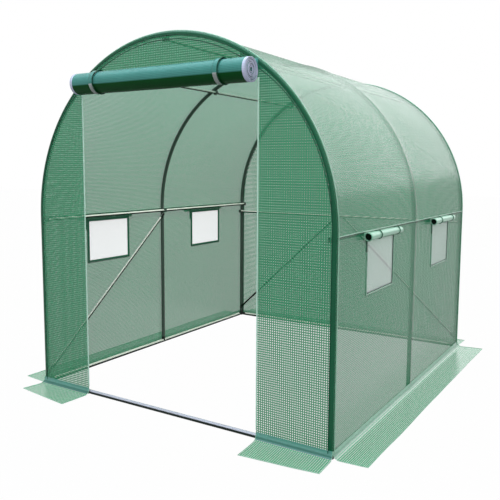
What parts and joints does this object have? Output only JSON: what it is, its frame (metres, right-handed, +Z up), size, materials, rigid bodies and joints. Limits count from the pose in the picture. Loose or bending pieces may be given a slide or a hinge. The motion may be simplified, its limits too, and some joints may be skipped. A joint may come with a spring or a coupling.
{
  "type": "polytunnel greenhouse",
  "caption": "Walk-in garden tunnel with a half-round roof: tube frame under green film, doorway with rolled-up door, net windows with rolled flaps, and skirts along the ground.",
  "frame": {"origin": "on the ground, under the middle of the tunnel", "axes": "+Z up, +Y along the tunnel from the doorway to the closed end, +X to the right as seen from the doorway"},
  "size_m": [2.41, 2.67, 2.0618],
  "materials": {
    "hoop_steel": "satin dark green-grey coating",
    "rail_steel": "zinc-coated, dull",
    "fitting_black": "moulded, matt",
    "cover_film": "green translucent sheeting with a woven grid of threads, satin",
    "rolled_film": "several layers of the green sheeting, satin",
    "window_mesh": "fine light grey mesh",
    "strap_web": "woven tape",
    "zip_tape": "woven tape, pale green"
  },
  "bodies": {
    "root": {"corner_fittings": "fitting_black", "cross_clamps": "fitting_black", "door_roll": "rolled_film", "door_straps": "strap_web", "front_base_rail": "rail_steel", "front_gable_panel": "cover_film", "front_hoop": "hoop_steel", "front_left_panel": "cover_film", "front_left_skirt": "cover_film", "front_right_panel": "cover_film", "front_right_skirt": "cover_film", "left_base_rail": "rail_steel", "left_brace": "rail_steel", "left_door_zip": "zip_tape", "left_front_flap_roll": "rolled_film", "left_front_window_net": "window_mesh", "left_rear_flap_roll": "rolled_film", "left_rear_window_net": "window_mesh", "left_shoulder_rail": "rail_steel", "left_skirt": "cover_film", "left_waist_rail": "rail_steel", "left_wall_cover": "cover_film", "left_window_bindings": "zip_tape", "middle_hoop": "hoop_steel", "rear_base_rail": "rail_steel", "rear_hoop": "hoop_steel", "rear_left_brace": "rail_steel", "rear_panel": "cover_film", "rear_right_brace": "rail_steel", "rear_skirt": "cover_film", "rear_waist_rail": "rail_steel", "ridge_rail": "rail_steel", "right_base_rail": "rail_steel", "right_door_zip": "zip_tape", "right_front_flap_roll": "rolled_film", "right_front_window_net": "window_mesh", "right_rear_flap_roll": "rolled_film", "right_rear_window_net": "window_mesh", "right_shoulder_rail": "rail_steel", "right_skirt": "cover_film", "right_waist_rail": "rail_steel", "right_wall_cover": "cover_film", "right_window_bindings": "zip_tape", "roof_cover": "cover_film", "tee_fittings": "fitting_black"}
  },
  "joints": []
}
